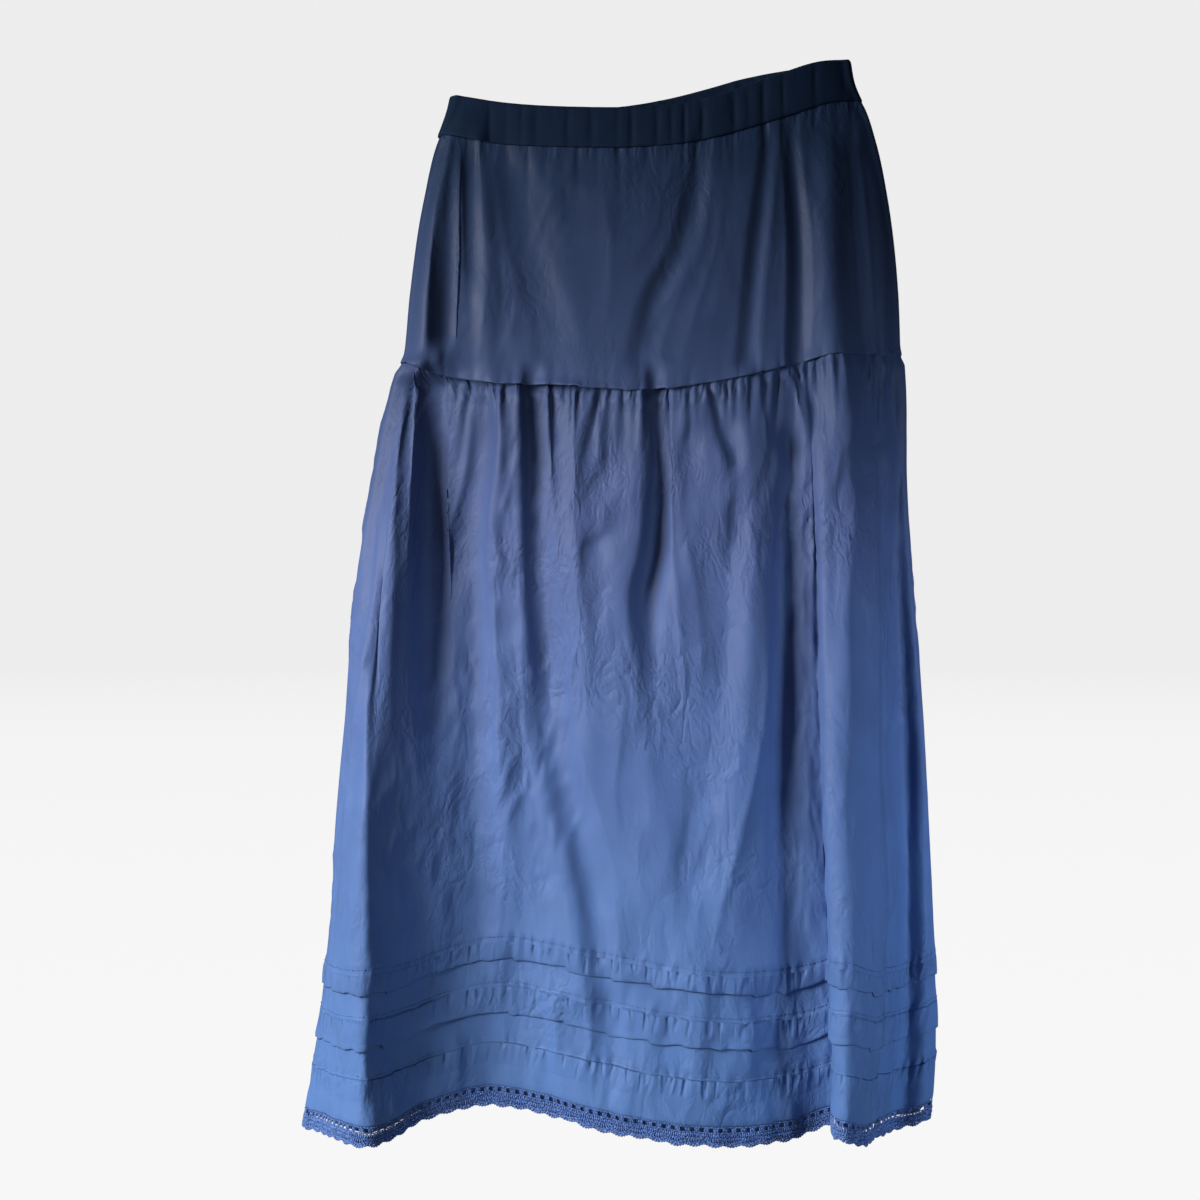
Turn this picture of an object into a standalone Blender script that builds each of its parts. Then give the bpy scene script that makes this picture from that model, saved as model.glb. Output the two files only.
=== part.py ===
# A midi skirt hanging by its elastic waistband: a waistband casing, a hip yoke, a gathered lower
# tier with two tucks and a deep hem, and a scalloped lace edging, each cut in a front and a back.
# Metres, +Z up, the front towards -Y. The tables are in millimetres, and "down" is measured
# from the origin, in the middle of the waist opening.
import math

import bmesh
import bpy
import numpy as np

MM = 0.001

# Cloth and seams
WALL = 1.4
BAND_WALL = 2.4
LACE_WALL = 1.3
SEAM_GAP = 0.3

# The waistband, the tucks and the lace, measured along the cloth
BAND_HEIGHT = 35.0
TUCK_PROUD = 1.4
UPPER_TUCK_STITCHES = 124.0
UPPER_TUCK_EDGE = 105.0
LOWER_TUCK_STITCHES = 86.0
LOWER_TUCK_EDGE = 60.0
HEM_STITCHES = 38.0
TUCK_LEDGE = 1.2
LACE_DROP = 17.0
SCALLOP_DEPTH = 3.0
SCALLOP_WIDTH = 17.0

# Fullness: how many gathers each half has, and how far they stand out
TIER_GATHERS = {"front": 44, "back": 42}
TIER_GATHER_OUT = 4.4
BAND_GATHERS = {"front": 26, "back": 24}
BAND_GATHER_OUT = 1.3
YOKE_GATHER_OUT = 1.6

# How round each section is: 1 is an ellipse, and less is boxier
SIDE_ROUND = 0.9
FRONT_ROUND = 0.8
# Where the side seams lie, in degrees forward of the widest point
LEFT_SEAM = 12.0
RIGHT_SEAM = 8.0

# The outline from the front and the side: (down, left, right, front depth, back depth)
SECTIONS = [
    (-45, -168, 171, 21, 20),
    (-15, -170, 176, 23, 22),
    (6, -173, 187, 26, 24),
    (32, -183, 195, 31, 28),
    (84, -195, 205, 43, 35),
    (161, -206, 213, 55, 42),
    (222, -213, 215, 62, 46),
    (246, -220, 216, 69, 51),
    (316, -234, 217, 74, 54),
    (419, -251, 224, 79, 57),
    (522, -260, 233, 82, 59),
    (625, -269, 238, 85, 61),
    (729, -275, 242, 88, 63),
    (800, -285, 243, 90, 64),
    (875, -297, 238, 92, 65),
]

# The lines that the seams follow: (share of the way across, down)
BAND_TOP = {
    "front": [(0, -8), (0.12, 1), (0.33, 7), (0.45, 7), (0.55, 4), (0.63, -2),
              (0.73, -13), (0.83, -25), (0.91, -34), (1, -38)],
    "back": [(0, -8), (0.12, -6), (0.33, -3), (0.42, -5), (0.53, -11), (0.63, -19),
             (0.73, -28), (0.83, -34), (0.91, -37), (1, -38)],
}
YOKE_SEAM = {
    "front": [(0, 222), (0.07, 234), (0.18, 242), (0.3, 246), (0.46, 250), (0.56, 248),
              (0.68, 238), (0.77, 228), (0.86, 219), (0.93, 218), (1, 216)],
    "back": [(0, 222), (0.2, 227), (0.5, 229), (0.8, 219), (1, 216)],
}
HEM = {
    "front": [(0, 857), (0.08, 850), (0.14, 850), (0.2, 840), (0.28, 831), (0.37, 834),
              (0.48, 843), (0.6, 851), (0.72, 853), (0.78, 850), (0.85, 841), (0.9, 854),
              (0.95, 857), (1, 846)],
    "back": [(0, 857), (0.12, 851), (0.3, 855), (0.5, 849), (0.7, 854), (0.88, 848), (1, 846)],
}

# The folds: (down, x, how far it stands out, half its width). A trough stands out less than 0.
FOLDS = {
    "front": {
        "yoke side trough": [(30, -170, 0, 9), (110, -174, -6, 12), (200, -176, -7, 13)],
        "yoke side ridge": [(40, -146, 2, 10), (130, -140, 5, 14), (230, -136, 5, 16)],
        "yoke left drag line": [(45, -138, -1, 9), (88, -124, -5, 11), (150, -112, -7, 13),
                                (230, -95, -5, 13)],
        "yoke right drag line": [(45, 42, -3, 10), (90, 36, -6, 12), (130, 26, -7, 15),
                                 (170, 6, -6, 17), (220, -8, -5, 15)],
        "yoke right line": [(40, 100, -3, 9), (110, 91, -6, 11), (220, 80, -6, 12)],
        "yoke trough by the pipe": [(30, 118, -2, 9), (120, 124, -6, 12), (214, 122, -6, 13),
                                    (300, 116, -6, 15)],
        "left lobe": [(240, -226, 4, 14), (419, -234, 10, 17), (584, -243, 18, 24),
                      (708, -248, 24, 32), (875, -251, 27, 38)],
        "left valley": [(250, -211, -9, 12), (419, -213, -16, 15), (518, -214, -18, 17),
                        (625, -209, -24, 27), (749, -193, -32, 42), (875, -172, -38, 58)],
        "second ridge": [(250, -196, 4, 10), (419, -200, 6, 11), (580, -198, 4, 12),
                         (700, -190, 0, 14)],
        "second valley": [(245, -183, -6, 11), (419, -186, -10, 14), (518, -183, -9, 17),
                          (690, -176, 0, 20)],
        "bright ridge": [(260, -130, 6, 17), (419, -132, 9, 21), (543, -128, 10, 25),
                         (634, -121, 9, 30), (780, -112, 0, 32)],
        "third valley": [(246, -106, -6, 11), (419, -103, -10, 15), (530, -98, -10, 18),
                         (640, -68, -9, 20), (749, -52, -6, 16), (850, -42, -2, 16)],
        "middle ridge": [(262, -66, 4, 16), (419, -63, 6, 22), (560, -58, 4, 26),
                         (660, -50, 0, 30)],
        "middle valley": [(246, -4, -6, 11), (356, -3, -9, 13), (430, -12, -9, 16),
                          (520, -5, 0, 18)],
        "right ridge": [(250, 78, 4, 17), (386, 82, 8, 20), (500, 80, 10, 26), (640, 66, 9, 42),
                        (749, 54, 8, 62), (875, 40, 12, 92)],
        "right valley": [(300, 110, -6, 14), (380, 102, -12, 18), (530, 102, -14, 21),
                         (640, 110, -13, 25), (710, 122, -15, 30), (875, 138, -25, 30)],
        "side valley": [(240, 206, -4, 9), (419, 212, -13, 15), (584, 217, -23, 21),
                        (749, 214, -32, 25), (875, 208, -42, 28)],
    },
    "back": {
        "yoke left drag line": [(40, -120, -3, 10), (130, -96, -6, 14), (222, -84, -5, 14)],
        "yoke right drag line": [(30, 66, -3, 10), (120, 40, -6, 15), (215, 22, -5, 16)],
        "yoke side ridge": [(20, 128, 3, 14), (120, 138, 6, 18), (212, 144, 6, 18)],
        "left fold": [(240, -178, 4, 16), (450, -188, 10, 26), (660, -203, 17, 38),
                      (875, -212, 24, 48)],
        "left trough": [(260, -132, -4, 15), (500, -140, -13, 24), (875, -147, -20, 32)],
        "middle left fold": [(250, -84, 4, 16), (450, -92, 8, 24), (875, -94, 13, 38)],
        "middle trough": [(262, -18, -5, 18), (480, -22, -12, 32), (875, -26, -20, 46)],
        "middle right fold": [(250, 40, 4, 18), (500, 46, 11, 28), (875, 48, 20, 44)],
        "right trough": [(256, 84, -4, 13), (480, 98, -9, 20), (875, 108, -15, 30)],
        "right fold": [(240, 140, 5, 18), (500, 150, 13, 28), (875, 162, 21, 40)],
    },
}

# The pipe fold on the front's right: (down, x, how far it stands out, half its width, lean)
PIPE = [
    (20, 150, 0, 15, 0),
    (60, 151, 4, 19, 0),
    (150, 152, 8, 22, 0),
    (225, 155, 12, 26, 1),
    (290, 160, 20, 29, 2),
    (419, 167, 34, 31, 6),
    (540, 169, 46, 30, 7),
    (660, 171, 57, 27, 8),
    (770, 170, 66, 22, 8),
    (875, 166, 74, 18, 8),
]
PIPE_BULGE = 0.14

# The lower tier's rows: (down from the yoke seam), then (up from the hem, share of a tuck)
TIER_GATHER_ROWS = [0.0, 14.0, 36.0]
TIER_PLAIN_ROWS = [66.0, 104.0, 150.0, 205.0, 260.0, 320.0, 380.0, 436.0]
TIER_HEM_ROWS = [
    (UPPER_TUCK_STITCHES, 0.0),
    (UPPER_TUCK_EDGE, 1.0),
    (UPPER_TUCK_EDGE - TUCK_LEDGE, 0.0),
    (LOWER_TUCK_STITCHES, 0.0),
    (LOWER_TUCK_EDGE, 1.0),
    (LOWER_TUCK_EDGE - TUCK_LEDGE, 0.0),
    (HEM_STITCHES, 0.0),
    (HEM_STITCHES - 8.0, 0.4),
    (0.0, 0.0),
]
SEAM_STAND = 3.0
YOKE_ROWS = [0.0, 0.07, 0.18, 0.32, 0.48, 0.64, 0.8, 0.92, 1.0]
TIER_COLUMNS = 50
YOKE_COLUMNS = 38
FINE = 500

COLOURS = {
    "waistband": (0.012, 0.024, 0.062, 1),
    "yoke": (0.022, 0.042, 0.110, 1),
    "tier": (0.050, 0.098, 0.250, 1),
    "lace": (0.045, 0.100, 0.290, 1),
}


def through(table, place):
    """The smooth line through a table's rows, first column to second, at each place."""
    places, values = np.array(table, float).T
    slopes = np.gradient(values, places)
    place = np.clip(place, places[0], places[-1])
    i = np.clip(np.searchsorted(places, place, side="right") - 1, 0, len(places) - 2)
    step = places[i + 1] - places[i]
    t = (place - places[i]) / step
    start = (1 + 2 * t) * (1 - t) ** 2 * values[i] + t * (1 - t) ** 2 * step * slopes[i]
    end = t * t * (3 - 2 * t) * values[i + 1] + t * t * (t - 1) * step * slopes[i + 1]
    return start + end


def column(table, number):
    """Two columns of a table, its first and this one."""
    return [(row[0], row[number]) for row in table]


def soft_step(value, low, high):
    t = np.clip((value - low) / (high - low), 0, 1)
    return t * t * (3 - 2 * t)


def seam_line(lines, front, across):
    """How far down a seam runs, across the front where front is true and across the back elsewhere."""
    return np.where(front, through(lines["front"], across), through(lines["back"], across))


def fold_relief(folds, x, down):
    """How far the folds push the cloth out."""
    out = np.zeros_like(x)
    for track in folds.values():
        near = np.clip(abs(x - through(column(track, 1), down)) / through(column(track, 3), down), 0, 1)
        starts = soft_step(down, track[0][0] - 25, track[0][0])
        ends = 1 - soft_step(down, track[-1][0], track[-1][0] + 25)
        out += through(column(track, 2), down) * (0.5 + 0.5 * np.cos(math.pi * near)) * starts * ends
    return out


def uneven(share):
    """How far each gather is shifted from even spacing."""
    return 0.010 * np.sin(2 * math.pi * 3 * share) + 0.0045 * np.sin(2 * math.pi * 8 * share)


def gather(share, count, depth):
    """Uneven gathers, count of them, that stand out by depth, with a crest on each side seam."""
    wave = 0.5 + 0.5 * np.cos(2 * math.pi * count * (share + uneven(share)))
    height = 0.8 + 0.2 * np.sin(2 * math.pi * 5 * share + 1)
    return depth * wave * height


def row_line(half, down_of):
    """The fine line of one row, front or back: its points, and how far along the cloth each one is."""
    start, end = math.radians(LEFT_SEAM), math.pi - math.radians(RIGHT_SEAM)
    if half == "back":
        end -= 2 * math.pi
    angle = np.linspace(start, end, FINE)
    cosine, sine = np.cos(angle), np.sin(angle)
    front = sine >= 0
    sideways = np.sign(cosine) * abs(cosine) ** SIDE_ROUND
    down = down_of(front, (1 - sideways) / 2)
    left, right = (through(column(SECTIONS, n), down) for n in (1, 2))
    front_depth, back_depth = (through(column(SECTIONS, n), down) for n in (3, 4))
    x = (left + right) / 2 - (right - left) / 2 * sideways
    y = -np.sign(sine) * np.where(front, front_depth, back_depth) * abs(sine) ** FRONT_ROUND
    inward = soft_step(abs(sine), 0.02, 0.45)
    y -= np.where(front, fold_relief(FOLDS["front"], x, down), -fold_relief(FOLDS["back"], x, down)) * inward
    pipe_x, pipe_out, pipe_half, lean = (through(column(PIPE, n), down) for n in (1, 2, 3, 4))
    q = np.clip((x - pipe_x) / pipe_half, -1, 1)
    fullness = np.clip(pipe_out / pipe_half - 0.4, 0, 1)
    full = np.sqrt(1 - q * q) * soft_step(1 - abs(q), -0.001, 0.3)
    soft = 0.5 + 0.5 * np.cos(math.pi * q)
    rise = np.where(front, full * fullness + soft * (1 - fullness), 0)
    y -= pipe_out * rise
    x = x + PIPE_BULGE * pipe_half * fullness * q * np.sin(math.pi * rise) - lean * rise
    line = np.stack([x, y, -down], axis=1)
    along = np.concatenate([[0], np.cumsum(np.linalg.norm(np.diff(line, axis=0), axis=1))])
    return line, along


def hang(half, share, down_of, gathers=1, gather_out=0):
    """Points of one row at these shares of its cloth, half a seam gap short of both its ends."""
    line, along = row_line(half, down_of)
    place = SEAM_GAP / 2 + (along[-1] - SEAM_GAP) * share
    points = np.stack([np.interp(place, along, line[:, n]) for n in range(3)], axis=1)
    slope_x, slope_y = (np.interp(place, along, np.gradient(line[:, n], along)) for n in (0, 1))
    out = gather(share, gathers, gather_out) * (1 if half == "front" else -1)
    points[:, 0] += slope_y * out
    points[:, 1] -= slope_x * out
    return points


def even_shares(half, count, lines):
    """Shares that give even lengths of cloth, shorter where it bends, over several rows."""
    share = np.linspace(0, 1, FINE)
    total = np.zeros(FINE)
    for line in lines:
        steps = np.diff(hang(half, share, line), axis=0)
        length = np.linalg.norm(steps, axis=1)
        heading = np.unwrap(np.arctan2(steps[:, 1], steps[:, 0]))
        bend = abs(np.gradient(heading))
        measure = length / length.sum() + 0.8 * bend / bend.sum()
        total += np.concatenate([[0], np.cumsum(measure)]) / len(lines)
    return np.interp(np.linspace(0, total[-1], count), total, share)


def gather_shares(count):
    """A share for each gather's crest and for each trough between two."""
    share = np.linspace(0, 1, FINE * 4)
    return np.interp(np.arange(2 * count + 1) / (2 * count), share + uneven(share), share)


def shorter(a, b, c, d):
    return (a.co - b.co).length < (c.co - d.co).length


def loft(name, rows, colour, wall, proud=None):
    """A cloth wall through rows of points that may have unlike counts. proud thickens its outer side."""
    mesh = bpy.data.meshes.new(name)
    form = bmesh.new()
    lines = [[form.verts.new(point * MM) for point in row] for row in rows]
    for upper, lower in zip(lines, lines[1:]):
        if len(upper) == len(lower):
            for i in range(len(upper) - 1):
                form.faces.new([upper[i], lower[i], lower[i + 1], upper[i + 1]])
            continue
        i, j = 0, 0
        while i < len(upper) - 1 or j < len(lower) - 1:
            upper_done = i == len(upper) - 1
            lower_done = j == len(lower) - 1
            if lower_done or not upper_done and shorter(upper[i + 1], lower[j], upper[i], lower[j + 1]):
                form.faces.new([upper[i], lower[j], upper[i + 1]])
                i += 1
            else:
                form.faces.new([upper[i], lower[j], lower[j + 1]])
                j += 1
    if name.endswith("back"):
        bmesh.ops.reverse_faces(form, faces=form.faces)
    form.to_mesh(mesh)
    form.free()
    piece = bpy.data.objects.new(name, mesh)
    skirt.objects.link(piece)
    mesh.materials.append(cloth(*colour))
    mesh.shade_smooth()
    thicken = piece.modifiers.new("Wall", "SOLIDIFY")
    thicken.offset = 1
    thicken.thickness = wall * MM
    if proud is not None:
        relief = piece.vertex_groups.new(name="Proud")
        first = 0
        for row, share in zip(rows, proud):
            relief.add(list(range(first, first + len(row))), share, "REPLACE")
            first += len(row)
        thicken.thickness = (wall + TUCK_PROUD) * MM
        thicken.vertex_group = relief.name
        thicken.thickness_vertex_group = wall / (wall + TUCK_PROUD)
    return piece


def cloth(name, roughness):
    """The dyed cloth of one part of the skirt."""
    found = bpy.data.materials.get(name)
    if found:
        return found
    material = bpy.data.materials.new(name)
    material.use_nodes = True
    shader = material.node_tree.nodes["Principled BSDF"]
    shader.inputs["Base Color"].default_value = COLOURS[name]
    shader.inputs["Roughness"].default_value = roughness
    shader.inputs["Metallic"].default_value = 0
    return material


def band_line(extra):
    return lambda front, across: seam_line(BAND_TOP, front, across) + extra


def between_seams(share):
    """A line of the yoke, this share of the way from the waistband to the lower tier."""
    def line(front, across):
        top = seam_line(BAND_TOP, front, across) + BAND_HEIGHT + SEAM_GAP / 2
        bottom = seam_line(YOKE_SEAM, front, across) - SEAM_GAP / 2
        return top + (bottom - top) * share
    return line


def below_yoke(extra):
    return lambda front, across: seam_line(YOKE_SEAM, front, across) + SEAM_GAP / 2 + extra


def above_hem(extra):
    return lambda front, across: seam_line(HEM, front, across) - SEAM_GAP / 2 - extra


def lowered(row, distance):
    """The same row again, this far down. Beside a seam the cloth starts straight up and down."""
    return row - [0, 0, distance]


def waistband(half):
    gathers = BAND_GATHERS[half]
    shares = gather_shares(gathers)
    lines = [(0.0, 0.5), (BAND_HEIGHT * 0.5, 1.0), (BAND_HEIGHT - SEAM_GAP / 2, 0.5)]
    rows = [hang(half, shares, band_line(down), gathers, BAND_GATHER_OUT * fullness)
            for down, fullness in lines]
    loft(f"waistband_{half}", rows, ("waistband", 0.6), BAND_WALL)


def yoke(half):
    gathers = BAND_GATHERS[half]
    shares = even_shares(half, YOKE_COLUMNS, [between_seams(share) for share in YOKE_ROWS[3:]])
    rows = [hang(half, gather_shares(gathers), between_seams(share), gathers, YOKE_GATHER_OUT * fullness)
            for share, fullness in zip(YOKE_ROWS, (0.5, 1.0))]
    rows += [hang(half, shares, between_seams(share)) for share in YOKE_ROWS[2:]]
    rows = [rows[0], lowered(rows[0], SEAM_STAND), *rows[1:-1], lowered(rows[-1], -SEAM_STAND), rows[-1]]
    loft(f"yoke_{half}", rows, ("yoke", 0.55), WALL)


def tier_shares(half):
    lines = [below_yoke(down) for down in TIER_PLAIN_ROWS[3:]] + [above_hem(up) for up, _ in TIER_HEM_ROWS]
    return even_shares(half, TIER_COLUMNS, lines)


def tier(half):
    gathers = TIER_GATHERS[half]
    plain = [below_yoke(down) for down in TIER_PLAIN_ROWS]
    hem = [above_hem(up) for up, _ in TIER_HEM_ROWS]
    rows = [hang(half, gather_shares(gathers), below_yoke(down), gathers, TIER_GATHER_OUT * fullness)
            for down, fullness in zip(TIER_GATHER_ROWS, (0.75, 1.0, 0.6))]
    rows += [hang(half, tier_shares(half), line) for line in plain + hem]
    rows.insert(1, lowered(rows[0], SEAM_STAND))
    proud = [0.0] * (len(rows) - len(hem)) + [share for _, share in TIER_HEM_ROWS]
    loft(f"tier_{half}", rows, ("tier", 0.5), WALL, proud)


def lace(half):
    """The lace edging: its top row follows the hem, and its lower edge is scalloped."""
    length = row_line(half, above_hem(0))[1][-1]
    scallops = round(length / SCALLOP_WIDTH)
    rows = [hang(half, tier_shares(half), above_hem(-SEAM_GAP))]
    for drop, scallop in ((LACE_DROP * 0.5, 0.0), (LACE_DROP - SCALLOP_DEPTH, SCALLOP_DEPTH)):
        row = hang(half, np.linspace(0, 1, 2 * scallops + 1), above_hem(-SEAM_GAP - drop))
        row[1::2, 2] -= scallop
        rows.append(row)
    loft(f"lace_{half}", rows, ("lace", 0.8), LACE_WALL)


for thing in list(bpy.data.objects):
    bpy.data.objects.remove(thing)
skirt = bpy.data.collections.new("Midi skirt")
bpy.context.scene.collection.children.link(skirt)
for half in ("front", "back"):
    waistband(half)
    yoke(half)
    tier(half)
    lace(half)
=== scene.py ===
import math
import bpy
import numpy as np
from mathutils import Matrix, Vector


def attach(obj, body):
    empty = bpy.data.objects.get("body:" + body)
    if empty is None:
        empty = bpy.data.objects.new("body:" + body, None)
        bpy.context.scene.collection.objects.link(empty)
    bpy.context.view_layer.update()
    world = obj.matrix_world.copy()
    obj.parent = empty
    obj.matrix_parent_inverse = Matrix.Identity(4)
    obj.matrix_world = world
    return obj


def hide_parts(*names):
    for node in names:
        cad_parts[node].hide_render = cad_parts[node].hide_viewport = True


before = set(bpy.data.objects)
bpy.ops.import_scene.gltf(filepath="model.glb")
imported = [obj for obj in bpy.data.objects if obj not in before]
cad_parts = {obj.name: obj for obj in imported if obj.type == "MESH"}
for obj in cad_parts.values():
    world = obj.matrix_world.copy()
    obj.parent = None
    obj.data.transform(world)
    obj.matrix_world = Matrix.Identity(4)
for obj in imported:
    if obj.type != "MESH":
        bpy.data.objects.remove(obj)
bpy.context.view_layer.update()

mm = 0.001
print("frame loaded:", sorted(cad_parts))

# The hung form, in millimetres. "down" is measured from the middle of the waist opening.
skirtForm = {
    "sideRound": 0.9,    # 1 is an ellipse, less is boxier
    "frontRound": 0.8,
    "leftSeam": 12,    # degrees forward of the widest point
    "rightSeam": 8,
    "fineness": 900,
    # down, left, right, front depth, back depth
    "sections": [
        (-45, -168, 171, 21, 20),
        (-15, -170, 176, 23, 22),
        (6, -173, 187, 26, 24),
        (32, -183, 195, 31, 28),
        (84, -195, 205, 43, 35),
        (161, -206, 213, 55, 42),
        (222, -213, 215, 62, 46),
        (246, -220, 216, 69, 51),
        (316, -234, 217, 74, 54),
        (419, -251, 224, 79, 57),
        (522, -260, 233, 82, 59),
        (625, -269, 238, 85, 61),
        (729, -275, 242, 88, 63),
        (800, -285, 243, 90, 64),
        (875, -297, 238, 92, 65),
    ],
    # the big fold on the front's right: down, x, how far out, half its width, lean
    "pipe": [
        (20, 150, 0, 15, 0),
        (60, 151, 4, 19, 0),
        (150, 152, 8, 22, 0),
        (225, 155, 12, 26, 1),
        (290, 160, 20, 29, 2),
        (419, 167, 34, 31, 6),
        (540, 169, 46, 30, 7),
        (660, 171, 57, 27, 8),
        (770, 170, 66, 22, 8),
        (875, 166, 74, 18, 8),
    ],
    "pipeBulge": 0.14,
    "pipeTilt": 0.42,    # how much lower its right half is
}

# Where the pieces meet, in the front and in the back: share of the way across, down
seamLines = {
    "bandTop": {
        "front": [(0, -8), (0.12, 1), (0.33, 7), (0.45, 7), (0.55, 4), (0.63, -2),
                  (0.73, -13), (0.83, -25), (0.91, -34), (1, -38)],
        "back": [(0, -8), (0.12, -6), (0.33, -3), (0.42, -5), (0.53, -11), (0.63, -19),
                 (0.73, -28), (0.83, -34), (0.91, -37), (1, -38)],
    },
    "yoke": {
        "front": [(0, 222), (0.07, 234), (0.18, 242), (0.3, 246), (0.46, 250), (0.56, 248),
                  (0.68, 238), (0.77, 228), (0.86, 219), (0.93, 218), (1, 216)],
        "back": [(0, 222), (0.2, 227), (0.5, 229), (0.8, 219), (1, 216)],
    },
    "hem": {
        "front": [(0, 857), (0.08, 850), (0.14, 850), (0.2, 840), (0.28, 831), (0.37, 834),
                  (0.48, 843), (0.6, 851), (0.72, 853), (0.78, 850), (0.85, 841), (0.9, 854),
                  (0.95, 857), (1, 846)],
        "back": [(0, 857), (0.12, 849), (0.3, 850), (0.5, 848), (0.7, 854), (0.88, 848), (1, 846)],
    },
}

# The large folds: down, x, how far out, half its width. A trough is less than 0.
largeFolds = {
    "front": {
        "yoke side trough": [(30, -170, 0, 9), (110, -174, -6, 12), (200, -176, -7, 13)],
        "yoke side ridge": [(40, -146, 2, 10), (130, -140, 2.5, 14), (230, -136, 2.5, 16)],
        "yoke left drag line": [(45, -124, -2, 26), (88, -110, -3, 30), (150, -98, -3, 30),
            (230, -82, -2, 28)],
        "yoke right drag line": [(45, 42, -2, 12), (90, 36, -4, 14), (130, 26, -4, 17), (170, 6, -4, 19),
            (220, -8, -3, 17)],
        "yoke right line": [(40, 100, -2, 10), (110, 91, -3.5, 12), (220, 80, -3.5, 13)],
        "yoke trough by the pipe": [(30, 118, -2, 9), (120, 124, -6, 12), (214, 122, -6, 13),
            (300, 116, -6, 15)],
        "yoke left edge": [(20, -168, 6, 44), (84, -178, 16, 60), (161, -191, 24, 72),
            (222, -202, 23, 74)],
        "left lobe": [(240, -222, 20, 60), (330, -228, 27, 60), (419, -234, 33, 62), (584, -238, 41, 60),
            (708, -238, 44, 56), (875, -237, 44, 52)],
        "left valley": [(250, -186, -9, 52), (360, -160, -22, 84), (430, -150, -27, 96),
            (508, -140, -31, 104), (600, -132, -34, 110), (749, -128, -36, 112), (875, -126, -34, 112)],
        "second ridge": [(250, -196, 4, 10), (380, -199, 3, 11), (450, -198, 0, 12), (520, -196, 0, 14)],
        "second valley": [(245, -183, -6, 11), (380, -186, -10, 14), (470, -183, -6, 17),
            (560, -176, 0, 20)],
        "bright ridge": [(260, -130, 6, 17), (419, -132, 9, 21), (543, -128, 10, 25), (634, -121, 9, 30),
            (780, -112, 0, 32)],
        "third valley": [(246, -99, -6, 12), (419, -94, -9, 17), (530, -86, -9, 20), (640, -56, -8, 22),
            (749, -42, -5, 18), (850, -34, -2, 18)],
        "middle ridge": [(262, -66, 4, 16), (419, -63, 6, 22), (560, -58, 4, 26), (660, -50, 0, 30)],
        "middle valley": [(246, 2, -5, 11), (356, 4, -8, 14), (430, -4, -8, 17), (520, 3, 0, 18)],
        "right ridge": [(250, 78, 4, 17), (386, 82, 8, 20), (500, 80, 10, 26), (640, 66, 9, 42),
            (749, 54, 8, 62), (875, 40, 12, 92)],
        "right valley": [(300, 115, -6, 14), (380, 110, -10, 18), (530, 110, -6, 21), (640, 112, -5, 25),
            (710, 120, -5, 28), (875, 132, -7, 28)],
        "side valley": [(240, 206, -4, 9), (419, 212, -13, 15), (584, 217, -23, 21), (749, 214, -24, 25),
            (875, 210, -26, 28)],
    },
    "back": {
        "yoke left drag line": [(40, -120, -1.5, 12), (130, -96, -3, 18), (222, -84, -3, 20)],
        "yoke right drag line": [(30, 66, -2, 12), (120, 40, -4, 18), (215, 22, -3, 22)],
        "yoke side ridge": [(20, 128, 2, 14), (120, 138, 4, 20), (212, 144, 5, 22)],
        "left fold": [(240, -178, 4, 16), (450, -188, 10, 26), (660, -203, 17, 38), (875, -212, 24, 48)],
        "left trough": [(260, -132, -4, 15), (500, -140, -13, 24), (875, -147, -20, 32)],
        "middle left fold": [(250, -84, 4, 16), (450, -92, 8, 24), (875, -94, 13, 38)],
        "middle trough": [(262, -18, -5, 18), (480, -22, -12, 32), (875, -26, -20, 46)],
        "middle right fold": [(250, 40, 4, 18), (500, 46, 11, 28), (875, 48, 20, 44)],
        "right trough": [(256, 84, -4, 13), (480, 98, -9, 20), (875, 108, -15, 30)],
        "right fold": [(240, 140, 5, 18), (500, 150, 13, 28), (875, 162, 21, 40)],
    },
}


def through(table, place):
    # the smooth line through a table's rows, first column to second
    places, values = np.array(table, float).T
    slopes = np.gradient(values, places)
    place = np.clip(place, places[0], places[-1])
    i = np.clip(np.searchsorted(places, place, side="right") - 1, 0, len(places) - 2)
    step = places[i + 1] - places[i]
    t = (place - places[i]) / step
    start = (1 + 2 * t) * (1 - t) ** 2 * values[i] + t * (1 - t) ** 2 * step * slopes[i]
    end = t * t * (3 - 2 * t) * values[i + 1] + t * t * (t - 1) * step * slopes[i + 1]
    return start + end


def column(table, number):
    return [(row[0], row[number]) for row in table]


def softStep(value, low, high):
    t = np.clip((value - low) / (high - low), 0, 1)
    return t * t * (3 - 2 * t)


def lengthAlong(points):
    # how far along the line each of its points is
    return np.concatenate([[0], np.cumsum(np.linalg.norm(np.diff(points, axis=0), axis=1))])


def smoothNoise(a, b, seed):
    # between -1 and 1, one bump for each whole step of a and b
    lattice = np.random.default_rng(seed).uniform(-1, 1, (128, 128))
    i, j = np.floor(a).astype(int), np.floor(b).astype(int)
    s, t = softStep(a - i, 0, 1), softStep(b - j, 0, 1)
    near = lattice[i % 128, j % 128] * (1 - s) + lattice[(i + 1) % 128, j % 128] * s
    far = lattice[i % 128, (j + 1) % 128] * (1 - s) + lattice[(i + 1) % 128, (j + 1) % 128] * s
    return near * (1 - t) + far * t


def seamDown(name, front, across):
    lines = seamLines[name]
    return np.where(front, through(lines["front"], across), through(lines["back"], across))


def foldRelief(folds, x, down):
    out = np.zeros_like(x)
    for track in folds.values():
        centre, halfWidth = through(column(track, 1), down), through(column(track, 3), down)
        near = np.clip(abs(x - centre) / halfWidth, 0, 1)
        starts = softStep(down, track[0][0] - 25, track[0][0])
        ends = 1 - softStep(down, track[-1][0], track[-1][0] + 25)
        out += through(column(track, 2), down) * (0.5 + 0.5 * np.cos(math.pi * near)) * starts * ends
    return out


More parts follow.
